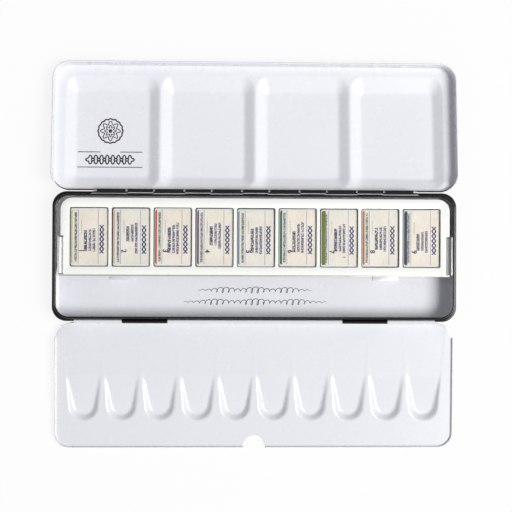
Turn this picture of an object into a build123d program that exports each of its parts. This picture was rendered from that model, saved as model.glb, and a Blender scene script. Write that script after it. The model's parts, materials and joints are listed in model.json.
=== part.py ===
"""Folding watercolour tin: a shallow sheet-metal box with a hinged lid at the rear,
a hinged mixing flap at the front and a loose holder for nine wrapped full pans.

Millimetres. X runs along the tin, +Y points to the rear hinge and +Z up. The origin is
the centre of the tray's underside. The tin is laid open: lid and flap rest on the table.
"""
import math
import os

from build123d import *

os.makedirs("parts", exist_ok=True)

# Sheet metal
sheet = 0.4

# Tray
tray_length = 212.0
tray_width = 67.8
tray_corner = 7.7
tray_bottom_round = 1.2
neck_height = 3.3
rim_over_holder = 1.4
rim_inset = 1.5
rim_corner = 7.5
bead_width = 1.1
bead_round = 0.5
catch_length = 11.5
catch_bulge = 0.25
catch_below_rim = 1.9

# Hinges
pin_radius = 0.45
pin_clearance = 0.05
knuckle_radius = 1.0
rear_hinge_outset = 0.2
rear_hinge_below_rim = 0.6
rear_leaf_margin = 18.6
rear_leaf_slant = 2.5
rear_pin_margin = 3.0
rear_pin_end = 1.975
rear_knuckle_gap = 0.925
lid_knuckle_count = 6
tray_knuckle_length = 13.3
front_hinge_outset = 0.1
front_hinge_below_shoulder = 1.0
front_hinge_margin = 11.5
front_knuckle_length = 23.4
flap_outer_knuckle_length = 24.8
front_knuckle_gap = 0.3
front_groove_margin = 0.7
front_groove_clearance = 0.15
hinge_edge_clearance = 0.2

# Mixing flap
flap_side_clearance = 0.3
flap_far_clearance = 0.12
flap_corner = 8.1
flap_lip_height = 1.0
flap_tongue_length = 8.6
flap_tongue_inset = 1.35
flap_tongue_corner = 6.2
flap_well_count = 10
flap_well_side_margin = 5.2
flap_well_depth = 2.4
flap_well_length = 24.3
flap_well_far_margin = 14.32
flap_well_mouth_gap = 2.2
flap_well_gap = 4.8
flap_well_floor_run = 19.5
flap_well_wall_run = 2.6
notch_width = 11.5
notch_depth = 6.5

# Lid
lid_side_clearance = 0.3
lid_far_clearance = 0.23
lid_riser_clearance = 0.3
lid_rim_clearance = 0.3
lid_headroom = 0.3
lid_corner = 8.4
lid_roll_width = 0.5
lid_roll_height = 0.9
lid_roll_round = 0.4
lid_corner_cut = 4.2
lid_corner_cut_clearance = 0.6
lid_well_count = 4
lid_well_side_margin = 5.1
lid_well_crest = 1.0
lid_well_depth = 3.0
lid_well_near = 1.9
lid_well_far_margin = 5.3
lid_well_side_run = 5.4
lid_well_near_run = 6.1
lid_well_far_run = 7.9
lid_well_corner = 4.8
lid_well_floor_corner = 2.0
well_wall_growth = 0.15

# Pan holder
holder_end_gap = 0.5
holder_rear_gap = 0.9
holder_shift = 0.3
holder_over_pans = 1.5
brush_compartment_depth = 21.1
holder_corner = 6.2
holder_skirt = 2.4
holder_skirt_inset = 0.6
window_side_margin = 3.95
window_bar = 1.65
window_rear_margin = 4.9
window_front_margin = 4.7
window_corner = 1.0
leg_width = 13.7
leg_margin = 31.85
foot_length = 2.6
tab_length = 20.0
tab_height = 1.1
tab_reach = 1.3
tab_front_margin = 0.8

# Wrapped full pans
pan_count = 9
pan_side_play = 0.575
pan_end_play = 0.55
pan_height = 10.0
pan_wall = 1.0
pan_round = 1.0
paint_clearance = 0.02
paint_below_rim = 0.6
wrapper_thickness = 0.15
wrapper_clearance = 0.05
wrapper_seam = 0.3
pan_offsets = [
    (-0.15, 0.05),
    (0.10, -0.10),
    (-0.05, 0.15),
    (0.15, 0.00),
    (-0.10, -0.15),
    (0.05, 0.10),
    (0.20, -0.05),
    (-0.05, 0.10),
    (0.20, 0.00),
]

# The tin rests on the table at this height above the tray's underside
table_gap = 0.02

# Outer faces of the tray's rim bead
rim_x = tray_length / 2 - rim_inset
rim_y = tray_width / 2 - rim_inset
neck_inset = (bead_width - sheet) / 2

# Heights stack up from the pans that stand on the tray's floor
holder_height = sheet + pan_height + holder_over_pans
rim_height = holder_height + rim_over_holder
shoulder_height = rim_height - neck_height
rear_hinge_height = rim_height - rear_hinge_below_rim
front_hinge_height = shoulder_height - front_hinge_below_shoulder

# Holder, windows and pans share out the room inside the bead
holder_length = 2 * (rim_x - bead_width - holder_end_gap - tab_reach)
holder_rear_y = rim_y - bead_width - holder_rear_gap
holder_front_y = brush_compartment_depth - rim_y + bead_width
holder_depth = holder_rear_y - holder_front_y
pan_pitch = (holder_length - 2 * window_side_margin) / pan_count
window_width = pan_pitch - window_bar
window_length = holder_depth - window_rear_margin - window_front_margin
window_mid_y = holder_rear_y - window_rear_margin - window_length / 2
pan_width = window_width - 2 * pan_side_play
pan_length = window_length - 2 * pan_end_play

# Hinge axes
rear_hinge_y = tray_width / 2 + rear_hinge_outset
front_hinge_y = -(tray_width / 2 + front_hinge_outset)
rear_hinge = Axis((0, rear_hinge_y, rear_hinge_height), (1, 0, 0))
front_hinge = Axis((0, front_hinge_y, front_hinge_height), (1, 0, 0))
bore_radius = pin_radius + pin_clearance

# Closed flap: it lies on the bead, and its lips hang outside the bead
flap_x = rim_x + flap_side_clearance + sheet
flap_far_y = rim_y + flap_far_clearance + sheet
riser_inner_y = front_hinge_y + knuckle_radius
riser_outer_y = riser_inner_y - sheet

# Closed lid: it covers the flap, and its rim ends just above the front knuckles
lid_x = flap_x + lid_side_clearance
lid_rear_y = flap_far_y + lid_far_clearance
lid_front_y = riser_outer_y - lid_riser_clearance
lid_rim_height = front_hinge_height + knuckle_radius + lid_rim_clearance
lid_plate_height = rim_height + flap_well_depth + sheet + lid_headroom
lid_well_near_y = rear_hinge_y - lid_well_near
lid_well_far_y = lid_front_y + lid_well_far_margin
lid_well_length = lid_well_near_y - lid_well_far_y
lid_well_pitch = 2 * (lid_x - lid_well_side_margin) / lid_well_count

# Thumb wells of the flap
flap_well_pitch = 2 * (flap_x - flap_well_side_margin) / flap_well_count
flap_well_mouth_width = flap_well_pitch - flap_well_mouth_gap
flap_well_width = flap_well_pitch - flap_well_gap
flap_well_end = flap_far_y - front_hinge_y - flap_well_far_margin
flap_well_start = flap_well_end - flap_well_length

# Shares of the hinges
rear_leaf_length = tray_length - 2 * rear_leaf_margin
rear_pin_length = rear_leaf_length - 2 * rear_pin_margin
rear_knuckle_span = rear_pin_length - 2 * rear_pin_end
tray_knuckle_room = (lid_knuckle_count - 1) * (tray_knuckle_length + 2 * rear_knuckle_gap)
lid_knuckle_length = (rear_knuckle_span - tray_knuckle_room) / lid_knuckle_count
rear_knuckle_pitch = lid_knuckle_length + tray_knuckle_length + 2 * rear_knuckle_gap
front_hinge_length = tray_length - 2 * front_hinge_margin
front_knuckle_spacing = (front_hinge_length - 2 * (flap_outer_knuckle_length + front_knuckle_gap)
                         - front_knuckle_length)


def droop(reach, drop, hinge_height):
    """Angle past flat at which a point, reach out from the hinge and drop below it, meets the table."""
    fall = hinge_height - table_gap
    return math.degrees(math.asin(fall / math.hypot(reach, drop)) - math.atan2(drop, reach))


lid_droop = droop(
    rear_hinge_y - lid_well_far_y - lid_well_far_run + well_wall_growth,
    lid_plate_height + lid_well_depth + sheet - rear_hinge_height,
    rear_hinge_height,
)
flap_droop = droop(
    flap_well_end - flap_well_wall_run + well_wall_growth,
    rim_height + flap_well_depth + sheet - front_hinge_height,
    front_hinge_height,
)
lid_open_angle = -(180 + lid_droop)
flap_open_angle = 180 + flap_droop


def centred(count, pitch):
    """Places along X of a row of things, centred on the tin."""
    return [(index - (count - 1) / 2) * pitch for index in range(count)]


lid_knuckle_places = centred(lid_knuckle_count, rear_knuckle_pitch)
tray_knuckle_places = centred(lid_knuckle_count - 1, rear_knuckle_pitch)
front_knuckle_places = centred(2, front_knuckle_spacing)

# The flap's knuckles fill the front hinge on both sides of each tray knuckle
front_inner_edge = (front_knuckle_spacing - front_knuckle_length) / 2 - front_knuckle_gap
flap_outer_place = (front_hinge_length - flap_outer_knuckle_length) / 2
flap_knuckles = [
    (-flap_outer_place, flap_outer_knuckle_length),
    (0, 2 * front_inner_edge),
    (flap_outer_place, flap_outer_knuckle_length),
]


def slab(x_range, y_range, z_range, mode=Mode.ADD):
    """A plain block between three pairs of limits, added to the part being built."""
    size = [high - low for low, high in (x_range, y_range, z_range)]
    middle = [(high + low) / 2 for low, high in (x_range, y_range, z_range)]
    with Locations(tuple(middle)):
        Box(*size, mode=mode)


def barrel(x, length, hinge, mode=Mode.ADD, radius=knuckle_radius):
    """A round length of a hinge, centred at x on the hinge's axis."""
    with Locations((x, hinge.position.Y, hinge.position.Z)):
        Cylinder(radius, length, rotation=(0, 90, 0), mode=mode)


def make_base_tray():
    """Pressed tray with a shoulder, a neck, a rolled bead, and its share of both hinges."""
    ledge_height = front_hinge_height - knuckle_radius - front_groove_clearance
    groove = front_hinge_length / 2 + front_groove_margin
    neck_y = rim_y - neck_inset
    leaf_bottom = rear_hinge_height - knuckle_radius
    leaf_edge = rear_hinge_y - knuckle_radius - hinge_edge_clearance
    with BuildPart() as base_tray:
        with BuildSketch():
            RectangleRounded(tray_length, tray_width, tray_corner)
        extrude(amount=shoulder_height)
        fillet(base_tray.faces().sort_by(Axis.Z)[0].edges(), tray_bottom_round)
        with BuildSketch(Plane.XY.offset(sheet)):
            RectangleRounded(tray_length - 2 * sheet, tray_width - 2 * sheet, tray_corner - sheet)
        extrude(amount=shoulder_height - 2 * sheet, mode=Mode.SUBTRACT)
        # Front wall steps in under the hinge
        slab((-groove, groove), (-tray_width / 2, -neck_y + sheet), (ledge_height - sheet, shoulder_height))
        slab((-groove, groove), (-tray_width / 2 - sheet, -neck_y), (ledge_height, shoulder_height),
             mode=Mode.SUBTRACT)
        # Neck and rolled bead
        with BuildSketch(Plane.XY.offset(shoulder_height - sheet)):
            RectangleRounded(2 * (rim_x - neck_inset), 2 * neck_y, rim_corner - neck_inset)
        extrude(amount=rim_height - bead_round - shoulder_height + sheet)
        with BuildSketch(Plane.XY.offset(rim_height - bead_width)):
            RectangleRounded(2 * rim_x, 2 * rim_y, rim_corner)
        extrude(amount=bead_width)
        with BuildSketch(Plane.XY.offset(shoulder_height - sheet)):
            RectangleRounded(2 * (rim_x - neck_inset - sheet), 2 * (neck_y - sheet),
                             rim_corner - neck_inset - sheet)
        extrude(amount=rim_height, mode=Mode.SUBTRACT)
        with BuildSketch(Plane.XY.offset(rim_height - bead_width)):
            RectangleRounded(2 * (rim_x - neck_inset), 2 * neck_y, rim_corner - neck_inset)
            RectangleRounded(2 * (rim_x - bead_width), 2 * (rim_y - bead_width), rim_corner - bead_width,
                             mode=Mode.SUBTRACT)
        extrude(amount=bead_width)
        fillet(base_tray.faces().sort_by(Axis.Z)[-1].edges(), bead_round)
        # Catch pressed outward in the middle of the front neck
        with Locations((0, -neck_y, rim_height - catch_below_rim)):
            Cylinder(catch_bulge, catch_length, rotation=(0, 90, 0))
        # Rear leaf, with a finger to each knuckle
        with BuildSketch(Plane.XY.offset(leaf_bottom)):
            with BuildLine():
                Polyline(
                    (-rear_leaf_length / 2, neck_y - sheet / 2),
                    (rear_leaf_length / 2, neck_y - sheet / 2),
                    (rear_leaf_length / 2 - rear_leaf_slant, leaf_edge),
                    (-rear_leaf_length / 2 + rear_leaf_slant, leaf_edge),
                    close=True,
                )
            make_face()
        extrude(amount=sheet)
        for x in tray_knuckle_places:
            ends = (x - tray_knuckle_length / 2, x + tray_knuckle_length / 2)
            slab(ends, (neck_y, rear_hinge_y), (leaf_bottom, leaf_bottom + sheet))
            barrel(x, tray_knuckle_length, rear_hinge)
            barrel(x, tray_knuckle_length, rear_hinge, Mode.SUBTRACT, bore_radius)
        # Front knuckles stand on the ledge
        for x in front_knuckle_places:
            ends = (x - front_knuckle_length / 2, x + front_knuckle_length / 2)
            slab(ends, (riser_outer_y, riser_inner_y), (ledge_height - sheet / 2, front_hinge_height + sheet / 2))
            barrel(x, front_knuckle_length, front_hinge)
            barrel(x, front_knuckle_length, front_hinge, Mode.SUBTRACT, bore_radius)
    base_tray.part.label = "base_tray"
    export_step(base_tray.part, "parts/base_tray.step")


def lid_well(growth):
    """One mixing well as a sloped block, grown on all sides by the given amount, centred on X = 0."""
    mouth_x = (lid_well_pitch - lid_well_crest) / 2 + growth
    floor_x = mouth_x - lid_well_side_run
    mouth_mid = (lid_well_near_y + lid_well_far_y) / 2
    mouth_y = lid_well_length / 2 + growth
    floor_near = lid_well_near_y - lid_well_near_run + growth
    floor_far = lid_well_far_y + lid_well_far_run - growth
    lift = sheet if growth else 0.0
    with BuildPart() as well:
        with BuildSketch(Plane.XY.offset(lid_plate_height)):
            with Locations((0, mouth_mid)):
                RectangleRounded(2 * mouth_x, 2 * mouth_y, lid_well_corner)
        with BuildSketch(Plane.XY.offset(lid_plate_height + lid_well_depth + lift)):
            with Locations((0, (floor_near + floor_far) / 2)):
                RectangleRounded(2 * floor_x, floor_near - floor_far, lid_well_floor_corner)
        loft(ruled=True)
    return well.part


def make_lid():
    """Lid with a rolled rim, four mixing wells and six knuckles, built closed and then laid open."""
    middle_y = (lid_rear_y + lid_front_y) / 2
    inner_depth = lid_rear_y - lid_front_y
    top = lid_plate_height + sheet
    wall_foot = rear_hinge_height + knuckle_radius + hinge_edge_clearance
    cut_y = lid_rear_y - lid_corner_cut
    cut_top = rim_height + lid_corner_cut_clearance
    with BuildPart() as lid:
        with BuildSketch(Plane.XY.offset(lid_rim_height)):
            with Locations((0, middle_y)):
                RectangleRounded(2 * (lid_x + sheet), inner_depth + 2 * sheet, lid_corner + sheet)
        extrude(amount=top - lid_rim_height)
        with BuildSketch(Plane.XY.offset(lid_rim_height)):
            with Locations((0, middle_y)):
                RectangleRounded(2 * (lid_x + sheet + lid_roll_width), inner_depth + 2 * (sheet + lid_roll_width),
                                 lid_corner + sheet + lid_roll_width)
        extrude(amount=lid_roll_height)
        roll_foot, roll_ledge = lid.faces().filter_by(Axis.Z).sort_by(Axis.Z)[:2]
        fillet(roll_foot.outer_wire().edges() + roll_ledge.outer_wire().edges(), lid_roll_round)
        with BuildSketch(Plane.XY.offset(lid_rim_height)):
            with Locations((0, middle_y)):
                RectangleRounded(2 * lid_x, inner_depth, lid_corner)
        extrude(amount=lid_plate_height - lid_rim_height, mode=Mode.SUBTRACT)
        # Wells are pressed outward through the plate
        with Locations(*[(x, 0, 0) for x in centred(lid_well_count, lid_well_pitch)]):
            add(lid_well(well_wall_growth))
        with Locations(*[(x, 0, 0) for x in centred(lid_well_count, lid_well_pitch)]):
            add(lid_well(0), mode=Mode.SUBTRACT)
        # The rim stops short of the rear corners, and the rear wall stops above the knuckles
        outside = lid_x + sheet + 2 * lid_roll_width
        slab((-outside, outside), (cut_y, lid_rear_y + sheet + 2 * lid_roll_width),
             (lid_rim_height - sheet, cut_top), mode=Mode.SUBTRACT)
        for x in lid_knuckle_places:
            ends = (x - lid_knuckle_length / 2, x + lid_knuckle_length / 2)
            slab(ends, (lid_rear_y, lid_rear_y + sheet), (rear_hinge_height + bore_radius, wall_foot + sheet))
            barrel(x, lid_knuckle_length, rear_hinge)
            barrel(x, lid_knuckle_length, rear_hinge, Mode.SUBTRACT, bore_radius)
    lid.part = lid.part.rotate(rear_hinge, lid_open_angle)
    lid.part.label = "lid"
    export_step(lid.part, "parts/lid.step")


def flap_well_outline(height, inset):
    """The U outline of a thumb well: wide and open towards the hinge, round at the far end."""
    near_y = front_hinge_y + flap_well_start
    radius = flap_well_width / 2 - inset
    far_centre_y = front_hinge_y + flap_well_end - flap_well_width / 2
    mouth = flap_well_mouth_width / 2 - inset
    with BuildSketch(Plane.XY.offset(height)) as outline:
        with BuildLine():
            Polyline((radius, far_centre_y), (mouth, near_y), (-mouth, near_y), (-radius, far_centre_y))
            ThreePointArc((-radius, far_centre_y), (0, far_centre_y + radius), (radius, far_centre_y))
        make_face()
    return outline.sketch


def flap_well(growth):
    """One thumb well whose floor ramps from nothing down to its full depth at the round end."""
    lift = sheet if growth else 0.0
    near_y = front_hinge_y + flap_well_start
    deep_y = near_y + flap_well_floor_run
    end_y = front_hinge_y + flap_well_end + sheet
    low = rim_height - sheet
    with BuildPart() as well:
        add(flap_well_outline(rim_height, -growth))
        add(flap_well_outline(rim_height + flap_well_depth + lift, flap_well_wall_run - growth))
        loft(ruled=True)
        with BuildSketch(Plane.YZ):
            with BuildLine():
                Polyline(
                    (near_y, rim_height + lift),
                    (deep_y, rim_height + flap_well_depth + lift),
                    (end_y, rim_height + flap_well_depth + lift),
                    (end_y, low),
                    (near_y, low),
                    close=True,
                )
            make_face()
        extrude(amount=flap_well_mouth_width, both=True, mode=Mode.INTERSECT)
    return well.part


def make_mixing_flap():
    """Folding palette with side lips, ten thumb wells and a finger notch, built closed, then laid open."""
    tongue_x = flap_x - flap_tongue_inset
    lip_start = front_hinge_y + flap_tongue_length
    lip_foot = rim_height - flap_lip_height
    foot_clear = front_hinge_height + knuckle_radius + hinge_edge_clearance
    with BuildPart() as mixing_flap:
        with BuildSketch(Plane.XY.offset(lip_foot)):
            RectangleRounded(2 * flap_x, 2 * flap_far_y, flap_corner)
        extrude(amount=flap_lip_height + sheet)
        with BuildSketch(Plane.XY.offset(lip_foot)):
            RectangleRounded(2 * (flap_x - sheet), 2 * (flap_far_y - sheet), flap_corner - sheet)
        extrude(amount=flap_lip_height, mode=Mode.SUBTRACT)
        slab((-flap_x, flap_x), (-flap_far_y, lip_start), (lip_foot, rim_height + sheet), mode=Mode.SUBTRACT)
        # Tongue with rounded corners, and riser down to the hinge
        riser_x = tongue_x - flap_tongue_corner
        bend_y = riser_outer_y + flap_tongue_corner
        slab((-tongue_x, tongue_x), (bend_y, lip_start), (rim_height, rim_height + sheet))
        slab((-riser_x, riser_x), (riser_outer_y, bend_y), (rim_height, rim_height + sheet))
        with BuildSketch(Plane.XY.offset(rim_height)):
            with Locations((-riser_x, bend_y), (riser_x, bend_y)):
                Circle(flap_tongue_corner)
        extrude(amount=sheet)
        slab((-riser_x, riser_x), (riser_outer_y, riser_inner_y), (foot_clear, rim_height + sheet))
        for x, length in flap_knuckles:
            ends = (x - length / 2, x + length / 2)
            slab(ends, (riser_outer_y, riser_inner_y), (front_hinge_height - sheet / 2, foot_clear + sheet))
            barrel(x, length, front_hinge)
            barrel(x, length, front_hinge, Mode.SUBTRACT, bore_radius)
        with Locations(*[(x, 0, 0) for x in centred(flap_well_count, flap_well_pitch)]):
            add(flap_well(well_wall_growth))
        with Locations(*[(x, 0, 0) for x in centred(flap_well_count, flap_well_pitch)]):
            add(flap_well(0), mode=Mode.SUBTRACT)
        # Finger notch in the far edge
        with BuildSketch(Plane.XY.offset(lip_foot - sheet)):
            with Locations((0, flap_far_y + (notch_width - notch_depth) / 2)):
                SlotCenterToCenter(notch_depth, notch_width, rotation=90)
        extrude(amount=flap_lip_height + 3 * sheet, mode=Mode.SUBTRACT)
    mixing_flap.part = mixing_flap.part.rotate(front_hinge, flap_open_angle)
    mixing_flap.part.label = "mixing_flap"
    export_step(mixing_flap.part, "parts/mixing_flap.step")


def make_lid_hinge_pin():
    """Wire through the rear knuckles."""
    with BuildPart() as lid_hinge_pin:
        barrel(0, rear_pin_length, rear_hinge, radius=pin_radius)
    lid_hinge_pin.part.label = "lid_hinge_pin"
    export_step(lid_hinge_pin.part, "parts/lid_hinge_pin.step")


def make_flap_hinge_pin():
    """Wire through the front knuckles."""
    with BuildPart() as flap_hinge_pin:
        barrel(0, front_hinge_length, front_hinge, radius=pin_radius)
    flap_hinge_pin.part.label = "flap_hinge_pin"
    export_step(flap_hinge_pin.part, "parts/flap_hinge_pin.step")


pan_places = [x + holder_shift for x in centred(pan_count, pan_pitch)]


def make_pan_holder():
    """Sheet frame with nine windows, a skirt, four legs that stand in the tray, and two sprung end tabs."""
    end_x = holder_length / 2
    holder_mid_y = (holder_rear_y + holder_front_y) / 2
    skirt_x = end_x - holder_skirt_inset
    leg_foot = sheet
    with BuildPart() as pan_holder:
        with BuildSketch(Plane.XY.offset(holder_height - sheet)):
            with Locations((holder_shift, holder_mid_y)):
                RectangleRounded(holder_length, holder_depth, holder_corner)
            with Locations((holder_shift, holder_front_y + holder_corner / 2)):
                Rectangle(holder_length, holder_corner)
        extrude(amount=sheet)
        slab((holder_shift - skirt_x, holder_shift + skirt_x), (holder_front_y, holder_front_y + sheet),
             (holder_height - holder_skirt, holder_height))
        for x in centred(2, holder_length - 2 * leg_margin):
            ends = (x - leg_width / 2, x + leg_width / 2)
            slab(ends, (holder_front_y, holder_front_y + sheet), (leg_foot, holder_height))
            slab(ends, (holder_front_y + sheet - foot_length, holder_front_y + sheet), (leg_foot, leg_foot + sheet))
            slab(ends, (holder_rear_y - sheet, holder_rear_y), (leg_foot, holder_height))
            slab(ends, (holder_rear_y - foot_length, holder_rear_y), (leg_foot, leg_foot + sheet))
        tab_range = (holder_front_y + tab_front_margin, holder_front_y + tab_front_margin + tab_length)
        tab_x = end_x + tab_reach
        slab((holder_shift - tab_x, holder_shift + tab_x), tab_range, (holder_height - sheet, holder_height))
        for end in (holder_shift - tab_x, holder_shift + tab_x - sheet):
            slab((end, end + sheet), tab_range, (holder_height - sheet, holder_height + tab_height))
        with BuildSketch(Plane.XY.offset(holder_height - sheet)):
            with Locations(*[(x, window_mid_y) for x in pan_places]):
                RectangleRounded(window_width, window_length, window_corner)
        extrude(amount=sheet, mode=Mode.SUBTRACT)
    pan_holder.part.label = "pan_holder"
    export_step(pan_holder.part, "parts/pan_holder.step")


def pan_centre(index):
    """Centre of one wrapped pan, which lies a little off its window's centre."""
    shift_x, shift_y = pan_offsets[index]
    return pan_places[index] + shift_x, window_mid_y + shift_y


def make_pan(index, base_height):
    """Open plastic cup."""
    name = f"pan_{index + 1}"
    centre = pan_centre(index)
    with BuildPart() as pan:
        with BuildSketch(Plane.XY.offset(base_height)):
            with Locations(centre):
                RectangleRounded(pan_width, pan_length, pan_round)
        extrude(amount=pan_height)
        with BuildSketch(Plane.XY.offset(base_height + pan_wall)):
            with Locations(centre):
                Rectangle(pan_width - 2 * pan_wall, pan_length - 2 * pan_wall)
        extrude(amount=pan_height, mode=Mode.SUBTRACT)
    pan.part.label = name
    export_step(pan.part, f"parts/{name}.step")


def make_paint(index, base_height):
    """Block of dry watercolour that fills the cup to just below its rim."""
    name = f"paint_{index + 1}"
    gap = 2 * (pan_wall + paint_clearance)
    with BuildPart() as paint:
        with BuildSketch(Plane.XY.offset(base_height + pan_wall)):
            with Locations(pan_centre(index)):
                Rectangle(pan_width - gap, pan_length - gap)
        extrude(amount=pan_height - pan_wall - paint_below_rim)
    paint.part.label = name
    export_step(paint.part, f"parts/{name}.step")


def make_wrapper(index, base_height):
    """Paper wrapper folded round the cup, with its seam along the underside."""
    name = f"wrapper_{index + 1}"
    centre = pan_centre(index)
    inner_width = pan_width + 2 * wrapper_clearance
    inner_length = pan_length + 2 * wrapper_clearance
    with BuildPart() as wrapper:
        with BuildSketch(Plane.XY.offset(sheet)):
            with Locations(centre):
                RectangleRounded(inner_width + 2 * wrapper_thickness, inner_length + 2 * wrapper_thickness,
                                 pan_round + wrapper_clearance + wrapper_thickness)
        extrude(amount=pan_height + wrapper_clearance + 2 * wrapper_thickness)
        with BuildSketch(Plane.XY.offset(base_height)):
            with Locations(centre):
                RectangleRounded(inner_width, inner_length, pan_round + wrapper_clearance)
        extrude(amount=pan_height + wrapper_clearance, mode=Mode.SUBTRACT)
        with Locations((centre[0], centre[1], sheet + wrapper_thickness / 2)):
            Box(wrapper_seam, inner_length, 2 * wrapper_thickness, mode=Mode.SUBTRACT)
    wrapper.part.label = name
    export_step(wrapper.part, f"parts/{name}.step")


make_base_tray()
make_lid()
make_mixing_flap()
make_lid_hinge_pin()
make_flap_hinge_pin()
make_pan_holder()
for pan_index in range(pan_count):
    cup_base = sheet + wrapper_thickness
    make_pan(pan_index, cup_base)
    make_paint(pan_index, cup_base)
    make_wrapper(pan_index, cup_base)
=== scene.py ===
"""Looks of a folding watercolour tin laid open on a table: pressed sheet in black and white
enamel, an ivory holder and nine paper-wrapped pans. Metres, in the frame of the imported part."""
import json
import math

import bmesh
import bpy
import numpy as np
from mathutils import Matrix, Vector


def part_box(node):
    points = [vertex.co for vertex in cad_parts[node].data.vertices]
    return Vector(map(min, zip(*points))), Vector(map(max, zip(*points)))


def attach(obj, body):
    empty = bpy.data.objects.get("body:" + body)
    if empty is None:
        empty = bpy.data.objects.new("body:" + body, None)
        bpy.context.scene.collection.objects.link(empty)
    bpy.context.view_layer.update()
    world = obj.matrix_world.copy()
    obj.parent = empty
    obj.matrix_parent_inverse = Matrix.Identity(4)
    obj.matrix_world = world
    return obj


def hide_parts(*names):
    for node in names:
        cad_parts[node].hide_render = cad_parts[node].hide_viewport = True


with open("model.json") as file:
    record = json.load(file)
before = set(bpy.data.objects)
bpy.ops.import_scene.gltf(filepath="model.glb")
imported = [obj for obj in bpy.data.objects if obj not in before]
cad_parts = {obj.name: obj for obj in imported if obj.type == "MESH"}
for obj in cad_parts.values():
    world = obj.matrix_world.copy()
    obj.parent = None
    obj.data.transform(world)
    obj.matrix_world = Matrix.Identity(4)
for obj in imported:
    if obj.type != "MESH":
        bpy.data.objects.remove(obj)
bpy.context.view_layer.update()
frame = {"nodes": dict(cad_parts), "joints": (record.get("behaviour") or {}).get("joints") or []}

MM = 0.001
SHEET = 0.4

# The tray, in millimetres, as the frame has it
TRAY_HALF_X = 106.0
TRAY_HALF_Y = 33.9
TRAY_CORNER = 7.7
SHOULDER = 10.0
RIM_INSET = 1.5
RIM_CORNER = 7.5
BEAD_RADIUS = 0.55
BEAD_HEIGHT = 12.72
GROOVE_HALF = 95.2
LEDGE = 7.85

# Hinges
KNUCKLE = 1.0
lid_joint = next(j for j in frame["joints"] if j["name"] == "lid_hinge")
flap_joint = next(j for j in frame["joints"] if j["name"] == "flap_hinge")
LID_AXIS_Y, LID_AXIS_Z = (value / MM for value in lid_joint["pos_m"][1:])
FLAP_AXIS_Y, FLAP_AXIS_Z = (value / MM for value in flap_joint["pos_m"][1:])
LID_DROOP = math.radians(-lid_joint["range_deg"][0] - 180)
FLAP_DROOP = math.radians(-flap_joint["range_deg"][0] - 180)
LID_KNUCKLES = [(-75 + 30 * k, 14.85) for k in range(6)]
TRAY_REAR_KNUCKLES = [(-60 + 30 * k, 13.3) for k in range(5)]
TRAY_FRONT_KNUCKLES = [(-57.7, 23.4), (57.7, 23.4)]
FLAP_KNUCKLES = [(-82.1, 24.8), (0, 91.4), (82.1, 24.8)]

# Lid, laid flat: reach from the hinge axis and height over it
LID_HALF_X = 105.5
LID_NEAR = 0.95
LID_FAR = 67.8
LID_PLATE = -3.7
LID_RIM = 2.4
LID_WALL_FOOT = -1.2
LID_CUT = 5.15
LID_CORNER = 8.4
LID_ROLL = 0.45
WELL_PITCH = 50.2
WELL_HALF = 24.6
WELL_NEAR = 1.9
WELL_FAR = 62.5
WELL_SIDE_RUN = 5.4
WELL_NEAR_RUN = 6.1
WELL_FAR_RUN = 7.9
WELL_DEPTH = 3.0

# Holder's sprung tabs
TAB_NEAR = -9.4
TAB_LENGTH = 20.0
TAB_SWEEP = 2.2
TAB_RISE = 1.1
PLATE_UNDER = 11.5

# Wrapped pans
PAPER_HEIGHT = 10.2
PAPER_DRAWN_IN = 0.45
PAPER_LEFT = 9.65
NUMBER_SIZE = 3.6
NUMBER_PLACE = (-3.95, -7.2)

# Mixing flap, laid flat
FLAP_HALF_X = 104.8
FLAP_NEAR = 1.0
FLAP_FAR = 66.52
FLAP_PLATE = -4.3
FLAP_LIP = 1.0
FLAP_FOOT = 0.7
FLAP_CORNER = 7.7
RISER_FOOT = 0.6
RISER_TOP = -1.25
RISER_HALF = 97.3
TONGUE_LENGTH = 8.6
THUMB_PITCH = 20.0
THUMB_START = 28.3
THUMB_END = 52.6
THUMB_HALF = 7.6
THUMB_MOUTH_HALF = 8.9
THUMB_WALL = 2.6
THUMB_RUN = 19.5
THUMB_DEPTH = 2.4
NOTCH_RADIUS = 5.75
NOTCH_DEPTH = 6.5


def smooth(value):
    """Smooth step: 3t^2 - 2t^3 of the value held between 0 and 1."""
    held = np.clip(value, 0.0, 1.0)
    return held * held * (3.0 - 2.0 * held)


def soft_ramp(value, ease):
    """A ramp from 0 to 1 whose two bends are parabolas of the given half width."""
    low = np.clip((value + ease) / (2 * ease), 0, 1)
    high = np.clip((value - 1 + ease) / (2 * ease), 0, 1)
    return np.clip(value, ease, 1 - ease) - ease + ease * low * low + ease * (1 - (1 - high) ** 2)


def edge_steps(run, corner):
    """Breaks along one side: the straight share's places from -1 to 1, and the corner share that
    goes from -1 to 0 before it and from 0 to 1 after it."""
    bend = np.linspace(0, 1, corner + 1)[1:]
    place = np.concatenate([-np.ones(corner), run, np.ones(corner)])
    share = np.concatenate([-bend[::-1], np.zeros(len(run)), bend])
    return place, share


def plate_points(half_x, low_y, high_y, corner, steps):
    """A grid over a rounded rectangle. In each corner the square patch (a, b) is bent into a quarter
    disc as (a sqrt(1 - b^2 / 2), b sqrt(1 - a^2 / 2)). The same pair, times the corner radius, is
    the way outwards on the border, so it is handed back too."""
    (place_x, share_x), (place_y, share_y) = steps
    a, b = share_x[None, :], share_y[:, None]
    out_x = a * np.sqrt(1 - b * b / 2)
    out_y = b * np.sqrt(1 - a * a / 2)
    x = place_x[None, :] * (half_x - corner) + corner * out_x
    y = (low_y + high_y) / 2 + place_y[:, None] * ((high_y - low_y) / 2 - corner) + corner * out_y
    return x, y, out_x, out_y


def border(grid_shape):
    """Indices of a grid's border, counter-clockwise from the lower left corner."""
    rows, columns = grid_shape
    index = np.arange(rows * columns).reshape(rows, columns)
    return np.concatenate([index[0, :-1], index[:-1, -1], index[-1, :0:-1], index[:0:-1, 0]])


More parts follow.
